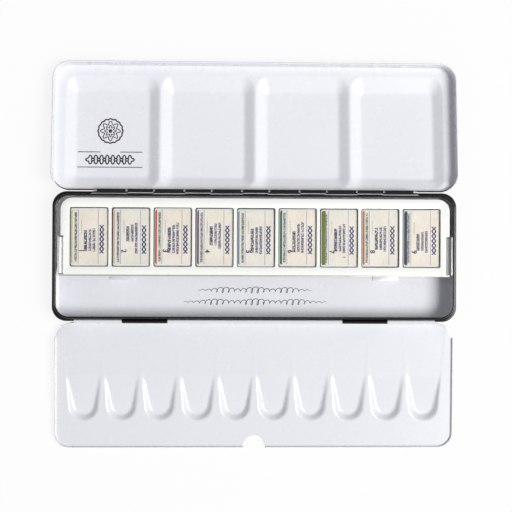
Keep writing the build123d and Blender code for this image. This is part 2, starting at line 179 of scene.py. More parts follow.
def grid_faces(rows, columns, start=0):
    """Quads of a grid, counter-clockwise seen from above."""
    index = start + np.arange(rows * columns).reshape(rows, columns)
    return np.stack([index[:-1, :-1], index[:-1, 1:], index[1:, 1:], index[1:, :-1]], axis=-1).reshape(-1, 4)


def ring_faces(rings):
    """Quads between closed rings of the same count, each row of indices one ring, from the inside out."""
    ahead = np.roll(rings, -1, axis=1)
    return np.stack([rings[:-1], rings[1:], ahead[1:], ahead[:-1]], axis=-1).reshape(-1, 4)


def shell(x, y, z, outline, ring_x, ring_y, ring_z):
    """A grid continued outwards by rings that start at its border: points, faces and ring indices."""
    points = np.concatenate([
        np.stack([x.ravel(), y.ravel(), z.ravel()], axis=-1),
        np.stack([ring_x.ravel(), ring_y.ravel(), ring_z.ravel()], axis=-1),
    ])
    rings = x.size + np.arange(ring_x.size).reshape(ring_x.shape)
    faces = np.concatenate([grid_faces(*x.shape), ring_faces(np.vstack([outline[None, :], rings]))])
    return points, faces


def make_piece(name, points, faces, materials, body, smooth_shading=True):
    """A mesh from millimetre points and faces, merged where points meet, riding on a body."""
    mesh = bpy.data.meshes.new(name)
    mesh.from_pydata((np.asarray(points) * MM).tolist(), [], np.asarray(faces).tolist())
    shape = bmesh.new()
    shape.from_mesh(mesh)
    bmesh.ops.remove_doubles(shape, verts=shape.verts, dist=1e-7)
    bmesh.ops.dissolve_degenerate(shape, edges=shape.edges, dist=1e-8)
    shape.to_mesh(mesh)
    shape.free()
    for material in materials:
        mesh.materials.append(material)
    mesh.polygons.foreach_set("use_smooth", [smooth_shading] * len(mesh.polygons))
    piece = bpy.data.objects.new(name, mesh)
    bpy.context.scene.collection.objects.link(piece)
    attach(piece, body)
    return piece


def give_thickness(piece, thickness=SHEET):
    """The sheet's thickness, laid behind the face that was drawn, with the back's own finish."""
    wall = piece.modifiers.new("sheet", "SOLIDIFY")
    wall.thickness = thickness * MM
    wall.offset = -1
    wall.use_even_offset = False
    wall.material_offset = 1
    wall.material_offset_rim = 1
    wall.use_quality_normals = True


def lay_open(x, reach, height, axis_y, axis_z, droop, towards):
    """From the flat sheet's (x, reach, height) to the tin's frame: turned down about the hinge axis
    by the droop angle; towards is +1 for the lid and -1 for the flap, whose x is turned round."""
    out = reach * math.cos(droop) + height * math.sin(droop)
    up = height * math.cos(droop) - reach * math.sin(droop)
    return np.stack([x * towards, axis_y + towards * out, axis_z + up], axis=-1)


def on_lid(points):
    return lay_open(*points.T, LID_AXIS_Y, LID_AXIS_Z, LID_DROOP, 1)


def on_flap(points):
    return lay_open(*points.T, FLAP_AXIS_Y, FLAP_AXIS_Z, FLAP_DROOP, -1)


def join(parts):
    """Several (points, faces) as one."""
    starts = np.cumsum([0] + [len(points) for points, faces in parts[:-1]])
    return (np.concatenate([points for points, faces in parts]),
            np.concatenate([faces + start for start, (points, faces) in zip(starts, parts)]))


def ribbon(x, length, path):
    """A strip of sheet: a path of (across, up) points carried along X for the given length."""
    along = np.array([-0.5, -0.5 + 0.15 / length, 0.0, 0.5 - 0.15 / length, 0.5]) * length + x
    across, up = np.asarray(path).T
    grid = np.stack(np.broadcast_arrays(along[None, :], across[:, None], up[:, None]), axis=-1)
    return grid.reshape(-1, 3), grid_faces(len(across), len(along))


def arc(centre, radius, start, stop, count=14):
    """Points on a circle between two angles in degrees."""
    turn = np.radians(np.linspace(start, stop, count))
    return np.stack([centre[0] + radius * np.cos(turn), centre[1] + radius * np.sin(turn)], axis=-1)


# ---------------------------------------------------------------- pieces
def lid_heights(x, reach):
    """The plate less its four wells. A well is 1 inside its floor and falls to 0 along its slope:
    q is the rounded-corner distance from the floor, in shares of the slope's run on that side."""
    corner = 2.0 / WELL_SIDE_RUN
    floor_half = WELL_HALF - WELL_SIDE_RUN * (1 + corner)
    far_floor = WELL_FAR - WELL_FAR_RUN * (1 + corner)
    near_floor = WELL_NEAR + WELL_NEAR_RUN * (1 + corner)
    along = np.maximum(reach - far_floor, 0) / WELL_FAR_RUN + np.maximum(near_floor - reach, 0) / WELL_NEAR_RUN
    height = np.full_like(x, LID_PLATE)
    for well in range(4):
        across = np.maximum(np.abs(x - (well - 1.5) * WELL_PITCH) - floor_half, 0) / WELL_SIDE_RUN
        q = (across ** 2.6 + along ** 2.6) ** (1 / 2.6) - corner
        height = height - WELL_DEPTH * (1 - soft_ramp(q, 0.12))
    return height


def rim_profile(radius, rise):
    """Rows of (out, up): a quarter round (radius sin t, radius (1 - cos t)), then a straight wall."""
    turn = np.radians(np.linspace(0, 90, 7))
    foot = np.stack([radius * np.sin(turn), radius * (1 - np.cos(turn))], axis=-1)
    wall = np.stack([np.full(5, radius), np.linspace(radius, rise, 6)[1:]], axis=-1)
    return np.concatenate([foot, wall])


def make_lid_shell():
    """Pressed lid: a grid over its plate and wells, rings up its rim, and six curled knuckles."""
    foot = 0.8
    steps = (edge_steps(np.linspace(-1, 1, 235), 16), edge_steps(np.linspace(-1, 1, 66), 16))
    x, reach, out_x, out_y = plate_points(LID_HALF_X - foot, LID_NEAR + foot, LID_FAR - foot, LID_CORNER - foot,
                                          steps)
    outline = border(x.shape)
    edge_x, edge_reach, way_x, way_y = (grid.ravel()[outline] for grid in (x, reach, out_x, out_y))
    whole = smooth((edge_reach - LID_CUT + 0.4) / 0.8)
    top = LID_WALL_FOOT + (LID_RIM - LID_ROLL - LID_WALL_FOOT) * whole - LID_PLATE
    profile = rim_profile(1.0, 2.0)
    out = foot * profile[:, 0:1] + 0 * top
    low = np.minimum(profile[:, 1:2], 1.0) * foot
    up = LID_PLATE + low + np.maximum(profile[:, 1:2] - 1.0, 0) * (top[None, :] - foot)
    roll = np.radians(np.linspace(0, 215, 12))[1:, None] * whole[None, :]
    out = np.vstack([out, foot + LID_ROLL * (1 - np.cos(roll))])
    up = np.vstack([up, LID_PLATE + top[None, :] + LID_ROLL * np.sin(roll)])
    points, faces = shell(x, reach, lid_heights(x, reach), outline,
                          edge_x + way_x * out, edge_reach + way_y * out, up)
    curl = np.concatenate([arc((0, 0), KNUCKLE - SHEET, 10, 270), [(LID_NEAR, LID_WALL_FOOT - 0.25)]])
    parts = [(points, faces)] + [ribbon(place, length, curl) for place, length in LID_KNUCKLES]
    points, faces = join(parts)
    piece = make_piece("lid_shell", on_lid(points), faces, [white_enamel, black_enamel], "lid_body")
    give_thickness(piece)
    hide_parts("lid")


def flap_heights(x, reach):
    """The plate less its ten thumb wells. A well's depth is the lesser of a ramp that grows with the
    reach and a wall that grows with the way in from its U outline."""
    depth = np.zeros_like(x)
    radius = THUMB_HALF
    centre = THUMB_END - radius
    for well in range(10):
        across = np.abs(x - (well - 4.5) * THUMB_PITCH)
        side = radius + (THUMB_MOUTH_HALF - radius) * (centre - reach) / (centre - THUMB_START)
        inside = np.where(reach < centre, side - across, radius - np.hypot(across, reach - centre))
        wall = inside / THUMB_WALL
        ramp = (reach - THUMB_START) / THUMB_RUN
        floor = soft_ramp(ramp, 0.05)
        ease = 0.10
        gap = np.clip((wall - floor) / ease, -1, 1)
        lesser = np.where(gap < 0, wall, floor) - ease * (1 - np.abs(gap)) ** 2 / 4
        depth = np.maximum(depth, THUMB_DEPTH * np.maximum(soft_ramp(lesser, 0.06), 0))
    return FLAP_PLATE - depth


def notch_columns():
    """Places of columns across the flap: even, but along the notch's round they follow its angle."""
    half = FLAP_HALF_X - FLAP_CORNER
    notch = NOTCH_RADIUS * np.sin(np.radians(np.linspace(-90, 90, 25)))
    side = np.linspace(NOTCH_RADIUS + 0.03, half, 112)
    return np.concatenate([-side[::-1], notch, side]) / half


def make_flap_sheet():
    """Mixing flap: a grid over its plate and thumb wells, drawn in round the notch, lips round its
    far half, a riser at its near edge, and three knuckles."""
    foot = FLAP_FOOT
    near, far = FLAP_NEAR + RISER_FOOT, FLAP_FAR - foot
    corner = FLAP_CORNER - foot
    steps = (edge_steps(notch_columns(), 14), edge_steps(np.linspace(-1, 1, 84), 14))
    x, reach, out_x, out_y = plate_points(FLAP_HALF_X - foot, near, far, corner, steps)
    cut = FLAP_FAR + SHEET - NOTCH_DEPTH + NOTCH_RADIUS - np.sqrt(np.clip(NOTCH_RADIUS ** 2 - x ** 2, 0, None))
    cut = np.where(np.abs(x) > NOTCH_RADIUS - 0.001, FLAP_FAR, cut)
    share = np.clip((reach - THUMB_END - 1.5) / (far - THUMB_END - 1.5), 0, 1)
    in_notch = np.abs(x) <= NOTCH_RADIUS + 1e-6
    reach = np.where(in_notch, reach + share * (cut - far), reach)
    outline = border(x.shape)
    edge_x, edge_reach, way_x, way_y, notched = (grid.ravel()[outline]
                                                 for grid in (x, reach, out_x, out_y, in_notch))
    has_lip = ~(notched & (edge_reach > far - 10))
    lip = smooth((edge_reach - TONGUE_LENGTH + 0.5) / 0.6) * has_lip
    lip_depth = smooth((edge_reach - TONGUE_LENGTH - 0.1) / 0.6) * has_lip
    riser = (1 - smooth((np.abs(edge_x) - RISER_HALF + 1.0) / 1.0)) * (edge_reach < near + 0.01)
    turn = np.radians(np.linspace(0, 90, 8))[1:, None]
    lip_out, lip_up = foot * np.sin(turn), foot * (1 - np.cos(turn))
    riser_out, riser_up = RISER_FOOT * np.sin(turn), RISER_FOOT * (1 - np.cos(turn))
    tall = np.linspace(0, RISER_TOP - FLAP_PLATE - RISER_FOOT, 5)[1:, None]
    out = np.vstack([lip_out * lip + riser_out * riser, foot * lip + RISER_FOOT * riser + 0 * tall])
    up = np.vstack([lip_up * lip_depth + riser_up * riser,
                    FLAP_LIP * lip_depth + (RISER_FOOT + tall) * riser])
    points, faces = shell(x, reach, flap_heights(x, reach), outline,
                          edge_x + way_x * out, edge_reach + way_y * out, FLAP_PLATE + up)
    curl = np.concatenate([arc((0, 0), KNUCKLE, 250, 0), [(FLAP_NEAR, RISER_TOP / 2), (FLAP_NEAR, RISER_TOP)]])
    parts = [(points, faces)] + [ribbon(place, length, curl) for place, length in FLAP_KNUCKLES]
    points, faces = join(parts)
    piece = make_piece("flap_sheet", on_flap(points), faces, [flap_enamel, flap_back], "flap_body")
    give_thickness(piece)
    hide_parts("mixing_flap")


def tray_columns():
    """Places along the tray's long sides, closer together where the front wall steps in."""
    even = np.linspace(-1, 1, 125)
    step = np.array([GROOVE_HALF - 0.45, GROOVE_HALF - 0.15, GROOVE_HALF + 0.15, GROOVE_HALF + 0.45])
    step = step / (TRAY_HALF_X - TRAY_CORNER)
    return np.unique(np.concatenate([even, step, -step]))


def make_tray_shell():
    """Base tray: the floor is a grid, and rings carry the inner face up the wall, in at the shoulder,
    up the neck and round the bead. Along the front the shoulder lies lower, as the hinge's ledge."""
    wall, neck, bead = SHEET, 2.25, 2.05
    floor_round, shoulder_round = 2.2, 0.45
    inset = wall + floor_round
    steps = (edge_steps(tray_columns(), 12), edge_steps(np.linspace(-1, 1, 36), 12))
    x, y, out_x, out_y = plate_points(TRAY_HALF_X - inset, inset - TRAY_HALF_Y, TRAY_HALF_Y - inset,
                                      TRAY_CORNER - inset, steps)
    outline = border(x.shape)
    edge_x, edge_y, way_x, way_y = (grid.ravel()[outline] for grid in (x, y, out_x, out_y))
    ledge = smooth((GROOVE_HALF - np.abs(edge_x) + 0.3) / 0.6) * (way_y < -0.999)
    under = SHOULDER - SHEET + (LEDGE - SHOULDER) * ledge
    turn = np.radians(np.linspace(0, 90, 6))
    rows = []
    for t in turn:
        rows.append((inset - floor_round * math.sin(t), SHEET + floor_round * (1 - math.cos(t)) + 0 * under))
    for part in (0.35, 0.7):
        rows.append((wall, SHEET + floor_round + part * (under - SHEET - floor_round - 0.5)))
    for t in turn:
        rows.append((wall + shoulder_round * (1 - math.cos(t)), under - shoulder_round * (1 - math.sin(t))))
    body_rows = len(rows)
    for t in turn:
        rows.append((neck - 0.3 * (1 - math.sin(t)), under + 0.3 * (1 - math.cos(t))))
    for height in (BEAD_HEIGHT - 1.7, BEAD_HEIGHT - 1.35, BEAD_HEIGHT - 1.0):
        rows.append((neck, height + 0 * under))
    for t in np.radians(np.linspace(-35, 210, 12)):
        rows.append((bead - (BEAD_RADIUS - SHEET) * math.cos(t), BEAD_HEIGHT + (BEAD_RADIUS - SHEET) * math.sin(t)
                     + 0 * under))
    in_by = np.array([row[0] for row in rows])[:, None]
    up = np.array([row[1] for row in rows])
    catch = 0.25 * smooth((6.0 - np.abs(edge_x)) / 0.6) * (way_y < -0.999) * np.exp(-((up - 11.4) / 0.25) ** 2)
    in_by = in_by - catch
    on_neck = (np.arange(len(rows)) >= body_rows)[:, None]
    round_by = TRAY_CORNER + (RIM_CORNER + RIM_INSET - TRAY_CORNER) * on_neck - in_by
    straight_x = edge_x - way_x * (TRAY_CORNER - inset)
    straight_y = edge_y - way_y * (TRAY_CORNER - inset)
    scale_x = (TRAY_HALF_X - in_by - round_by) / (TRAY_HALF_X - TRAY_CORNER)
    scale_y = (TRAY_HALF_Y - in_by - round_by) / (TRAY_HALF_Y - TRAY_CORNER)
    floor = np.full_like(x, SHEET)
    points, faces = shell(x, y, floor, outline, straight_x * scale_x + way_x * round_by,
                          straight_y * scale_y + way_y * round_by, up)
    parts = [(points, faces)]
    leaf_z = LID_AXIS_Z - KNUCKLE + SHEET
    half = np.array([87.4, 84.9])
    leaf_y = np.array([31.95, LID_AXIS_Y - KNUCKLE - 0.2])
    along = np.linspace(-1, 1, 9)
    leaf = np.stack(np.broadcast_arrays(along[None, :] * half[:, None], leaf_y[:, None], leaf_z), axis=-1)
    parts.append((leaf.reshape(-1, 3), grid_faces(2, 9)))
    rear = np.concatenate([[(32.0, leaf_z)], arc((LID_AXIS_Y, LID_AXIS_Z), KNUCKLE - SHEET, -90, 165)])
    parts += [ribbon(place, length, rear) for place, length in TRAY_REAR_KNUCKLES]
    front = np.concatenate([[(FLAP_AXIS_Y + KNUCKLE - SHEET, LEDGE - 0.2)],
                            arc((FLAP_AXIS_Y, FLAP_AXIS_Z), KNUCKLE - SHEET, 0, 255)])
    parts += [ribbon(place, length, front) for place, length in TRAY_FRONT_KNUCKLES]
    points, faces = join(parts)
    piece = make_piece("tray_shell", points, faces, [tray_enamel, black_enamel], "tray_body")
    give_thickness(piece)
    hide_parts("base_tray")


def make_holder_frame():
    """The holder's own solid with the edges of its cuts eased, as enamel lies over them; the faces round its windows
    and its underside get a black finish that is painted shade.
    """
    mesh = bpy.data.meshes.new_from_object(frame["nodes"]["pan_holder"])
    shape = bmesh.new()
    shape.from_mesh(mesh)
    bmesh.ops.remove_doubles(shape, verts=shape.verts, dist=1e-6)
    bmesh.ops.dissolve_limit(shape, angle_limit=math.radians(1), verts=shape.verts, edges=shape.edges)
    shape.to_mesh(mesh)
    shape.free()
    mesh.materials.clear()
    mesh.materials.append(ivory_enamel)
    mesh.materials.append(gap_shade_black)
    mesh.polygons.foreach_set("use_smooth", [True] * len(mesh.polygons))
    facing = np.zeros(3 * len(mesh.polygons))
    middle = np.zeros(3 * len(mesh.polygons))
    mesh.polygons.foreach_get("normal", facing)
    mesh.polygons.foreach_get("center", middle)
    facing, middle = facing.reshape(-1, 3), middle.reshape(-1, 3) / MM
    plate = middle[:, 2] > PLATE_UNDER - 0.05
    # Painted shade: the faces round the windows and the plate's underside get a black finish, so the gaps round the
    # pans read dark.
    cut = plate & (np.abs(facing[:, 2]) < 0.5) & (middle[:, 1] > -8) & (middle[:, 1] < 28) & (
        np.abs(middle[:, 0]) < 99.5)
    dark = cut | (plate & (facing[:, 2] < -0.5))
    mesh.polygons.foreach_set("material_index", dark.astype(int))
    piece = bpy.data.objects.new("holder_frame", mesh)
    bpy.context.scene.collection.objects.link(piece)
    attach(piece, "holder_body")
    ease = piece.modifiers.new("eased edges", "BEVEL")
    ease.width = 0.11 * MM
    ease.segments = 2
    ease.limit_method = "ANGLE"
    ease.angle_limit = math.radians(40)
    ease.harden_normals = True
    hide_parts("pan_holder")
    low, high = (np.array(corner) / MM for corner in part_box("pan_holder"))
    for name, outer, way in (("left", low[0], 1), ("right", high[0], -1)):
        turn = np.radians(np.linspace(0, 90, 9))
        across = np.concatenate([[TAB_SWEEP + 0.6], TAB_SWEEP - TAB_SWEEP * np.sin(turn) + 0.42])
        up = np.concatenate([[0.0], (TAB_RISE - 0.05) * (1 - np.cos(turn))]) + high[2] - TAB_RISE + 0.05
        along = np.linspace(0, 1, 21)
        place = TAB_NEAR + along * TAB_LENGTH
        grid = np.stack(np.broadcast_arrays(outer + way * across[:, None], place[None, :], up[:, None]), axis=-1)
        faces = grid_faces(len(across), len(along))
        strip = make_piece(f"holder_tab_{name}", grid.reshape(-1, 3), faces if way < 0 else faces[:, ::-1],
                           [tab_steel, tab_steel], "holder_body")
        give_thickness(strip, 0.3)


def make_wrapper(number):
    """Paper folded round a cup: a rounded box whose top swells and dips by three slow waves."""
    low, high = (np.array(corner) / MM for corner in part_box(f"wrapper_{number}"))
    middle = (low + high) / 2
    half_x, half_y = (high - low)[:2] / 2 - [0.28, 0.3]
    crease = 0.45
    corner = 1.5 - crease
    steps = (edge_steps(np.linspace(-1, 1, 19), 4), edge_steps(np.linspace(-1, 1, 29), 4))
    x, y, out_x, out_y = plate_points(half_x - crease, crease - half_y, half_y - crease, corner, steps)
    outline = border(x.shape)
    edge_x, edge_y, way_x, way_y = (grid.ravel()[outline] for grid in (x, y, out_x, out_y))
    drawn_in = PAPER_DRAWN_IN * np.abs(edge_x / half_x) ** 5
    phase = number * 1.7
    inside = smooth((half_x - np.abs(x)) / 2.5) * smooth((half_y - np.abs(y)) / 2.5)
    wave = (np.sin(0.31 * x + phase) * np.cos(0.17 * y - phase) + 0.6 * np.sin(0.23 * y + 2 * phase)
            + 0.4 * np.cos(0.5 * x - 0.11 * y + phase))
    paper_top = high[2] - 0.1
    top = paper_top + 0.05 * wave * inside
    turn = np.radians(np.linspace(0, 90, 5))[1:]
    out = np.concatenate([crease * np.sin(turn), [crease] * 5, crease * np.cos(turn)])
    down = np.concatenate([crease * (1 - np.cos(turn)), np.linspace(crease, PAPER_HEIGHT - crease, 7)[1:-1],
                           PAPER_HEIGHT - crease + crease * np.sin(turn)])
    slack = 1 - 0.012 * np.sin(0.35 * down + phase)[:, None] * np.sin(0.2 * (edge_x + edge_y) + phase)
    ring_out = out[:, None] * slack
    ring_z = paper_top - down[:, None] + 0 * edge_x
    edge_y = edge_y - np.sign(edge_y) * drawn_in * (np.abs(edge_y) > half_y - 3)
    y = y - np.sign(y) * PAPER_DRAWN_IN * np.abs(x / half_x) ** 5 * smooth((np.abs(y) - half_y + 3) / 2)
    points, faces = shell(x, y, top, outline, edge_x + way_x * ring_out, edge_y + way_y * ring_out, ring_z)
    under = np.stack([x.ravel(), y.ravel(), np.full(x.size, paper_top - PAPER_HEIGHT)], axis=-1)
    points, faces = join([(points, faces), (under, grid_faces(*x.shape)[:, ::-1])])
    points = points + [middle[0], middle[1], 0]
    piece = make_piece(f"paper_{number}", points, faces, [printed_paper(number, middle)], f"pan_body_{number}")
    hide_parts(f"wrapper_{number}")
    make_number(number, middle, high[2])


def make_number(number, middle, top):
    """The pan's plain number, printed sideways, as a mesh a hair above the paper."""
    curve = bpy.data.curves.new("number", "FONT")
    curve.body = str(number)
    curve.size = NUMBER_SIZE * MM
    curve.align_x = "CENTER"
    curve.align_y = "CENTER"
    curve.extrude = 0.01 * MM
    curve.offset = 0.07 * MM
    text = bpy.data.objects.new("number", curve)
    bpy.context.scene.collection.objects.link(text)
    bpy.context.view_layer.update()
    mesh = bpy.data.meshes.new_from_object(text.evaluated_get(bpy.context.evaluated_depsgraph_get()))
    bpy.data.objects.remove(text)
    place = Matrix.Translation(((middle[0] + NUMBER_PLACE[0]) * MM, (middle[1] + NUMBER_PLACE[1]) * MM,
                                (top + 0.02) * MM))
    mesh.transform(place @ Matrix.Rotation(math.radians(-90), 4, "Z"))
    mesh.materials.clear()
    mesh.materials.append(print_ink)
    piece = bpy.data.objects.new(f"number_{number}", mesh)
    bpy.context.scene.collection.objects.link(piece)
    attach(piece, f"pan_body_{number}")


# ---------------------------------------------------------------- finishes
def add_node(tree, kind, inputs=None, **settings):
    """One shader node. Each input is a plain value, or the output socket that feeds it."""
    made = tree.nodes.new("ShaderNode" + kind)
    for name, value in settings.items():
        setattr(made, name, value)
    for name, value in (inputs or {}).items():
        if isinstance(value, bpy.types.NodeSocket):
            tree.links.new(value, made.inputs[name])
        else:
            made.inputs[name].default_value = value
    return made


def calc(tree, operation, *values, clamp=False):
    """The result socket of one Math node."""
    return add_node(tree, "Math", dict(enumerate(values)), operation=operation, use_clamp=clamp).outputs[0]


def blend_colour(tree, factor, first, second):
    """Result socket of a colour mix: first at 0, second at 1."""
    made = add_node(tree, "Mix", {0: factor, 6: first, 7: second}, data_type="RGBA")
    return made.outputs[2]


def span(tree, value, low, high, to_low=0.0, to_high=1.0):
    """A value carried from one span to another, smoothly and held inside it."""
    made = add_node(tree, "MapRange", {"Value": value, "From Min": low, "From Max": high, "To Min": to_low,
                                       "To Max": to_high}, interpolation_type="SMOOTHSTEP")
    return made.outputs["Result"]


def colour(red, green, blue):
    """A colour read as on a screen, 0 to 255, in Blender's linear values."""
    return tuple(((c / 255 + 0.055) / 1.055) ** 2.4 for c in (red, green, blue)) + (1.0,)


def new_group(name, inputs, outputs):
    """An empty node group with its sockets, and the sockets inside it by name."""
    tree = bpy.data.node_groups.new(name, "ShaderNodeTree")
    for label, kind, value in inputs:
        socket = tree.interface.new_socket(name=label, in_out="INPUT", socket_type=kind)
        socket.default_value = value
    for label, kind in outputs:
        tree.interface.new_socket(name=label, in_out="OUTPUT", socket_type=kind)
    return tree, tree.nodes.new("NodeGroupInput").outputs, tree.nodes.new("NodeGroupOutput").inputs


def place_group(tree, group, values):
    """One use of a node group with its own values; returns its outputs."""
    made = tree.nodes.new("ShaderNodeGroup")
    made.node_tree = group
    for name, value in values.items():
        if isinstance(value, bpy.types.NodeSocket):
            tree.links.new(value, made.inputs[name])
        else:
            made.inputs[name].default_value = value
    return made.outputs


def make_enamel_group():
    """Stoved enamel: a faint orange peel, slow waves of the sheet under it, rubbed patches and specks."""
    tree, given, result = new_group(
        "enamel film",
        [("Peel Depth", "NodeSocketFloat", 0.04), ("Rough Low", "NodeSocketFloat", 0.2),
         ("Rough High", "NodeSocketFloat", 0.3), ("Speck Share", "NodeSocketFloat", 0.5)],
        [("Tone", "NodeSocketFloat"), ("Speck", "NodeSocketFloat"), ("Roughness", "NodeSocketFloat"),
         ("Normal", "NodeSocketVector")])
    place = add_node(tree, "TexCoord").outputs["Object"]
    peel = add_node(tree, "TexNoise", {"Vector": place, "Scale": 700.0, "Detail": 2.0}).outputs["Fac"]
    wave = add_node(tree, "TexNoise", {"Vector": place, "Scale": 28.0, "Detail": 1.0}).outputs["Fac"]
    rub = add_node(tree, "TexNoise", {"Vector": place, "Scale": 60.0, "Detail": 6.0, "Roughness": 0.65}).outputs["Fac"]
    dust = add_node(tree, "TexNoise", {"Vector": place, "Scale": 1500.0, "Detail": 1.0}).outputs["Fac"]
    tree.links.new(span(tree, wave, 0.3, 0.7), result["Tone"])
    tree.links.new(calc(tree, "MULTIPLY", span(tree, dust, 0.74, 0.78), given["Speck Share"]), result["Speck"])
    low_to_high = add_node(tree, "MapRange", {"Value": rub, "From Min": 0.35, "From Max": 0.7,
                                              "To Min": given["Rough Low"], "To Max": given["Rough High"]})
    tree.links.new(low_to_high.outputs["Result"], result["Roughness"])
    first = add_node(tree, "Bump", {"Strength": given["Peel Depth"], "Distance": 0.0004, "Height": peel})
    second = add_node(tree, "Bump", {"Strength": 0.05, "Distance": 0.004, "Height": wave,
                                     "Normal": first.outputs["Normal"]})
    tree.links.new(second.outputs["Normal"], result["Normal"])
    return tree


def make_wear_group():
    """Rubbed edges: where the surface turns sharply outwards and a noise agrees."""
    tree, given, result = new_group(
        "edge wear",
        [("Start", "NodeSocketFloat", 0.53), ("End", "NodeSocketFloat", 0.62), ("Amount", "NodeSocketFloat", 0.6)],
        [("Mask", "NodeSocketFloat")])
    place = add_node(tree, "TexCoord").outputs["Object"]
    turn = add_node(tree, "NewGeometry").outputs["Pointiness"]
    sharp = add_node(tree, "MapRange", {"Value": turn, "From Min": given["Start"], "From Max": given["End"]})
    rub = add_node(tree, "TexNoise", {"Vector": place, "Scale": 240.0, "Detail": 5.0}).outputs["Fac"]
    patch = calc(tree, "MULTIPLY", sharp.outputs["Result"], span(tree, rub, 0.48, 0.66))
    tree.links.new(calc(tree, "MULTIPLY", patch, given["Amount"]), result["Mask"])
    return tree


def make_grain_group():
    """Fibrous grain for paper, plastic and dry paint: two noises, one drawn out, as tone and normal."""
    tree, given, result = new_group(
        "fine grain",
        [("Scale", "NodeSocketFloat", 900.0), ("Depth", "NodeSocketFloat", 0.2), ("Stretch", "NodeSocketFloat", 1.0)],
        [("Tone", "NodeSocketFloat"), ("Normal", "NodeSocketVector")])
    place = add_node(tree, "TexCoord").outputs["Object"]
    pull = add_node(tree, "CombineXYZ", {"X": 1.0, "Y": given["Stretch"], "Z": 1.0}).outputs["Vector"]
    drawn = add_node(tree, "VectorMath", {0: place, 1: pull}, operation="MULTIPLY").outputs["Vector"]
    fine = add_node(tree, "TexNoise", {"Vector": drawn, "Scale": given["Scale"], "Detail": 4.0}).outputs["Fac"]
    slow = add_node(tree, "TexNoise", {"Vector": place, "Scale": 90.0, "Detail": 3.0}).outputs["Fac"]
    tree.links.new(calc(tree, "ADD", calc(tree, "MULTIPLY", fine, 0.5), calc(tree, "MULTIPLY", slow, 0.5)),
                   result["Tone"])
    bump = add_node(tree, "Bump", {"Strength": given["Depth"], "Distance": 0.0002, "Height": fine})
    tree.links.new(bump.outputs["Normal"], result["Normal"])
    return tree


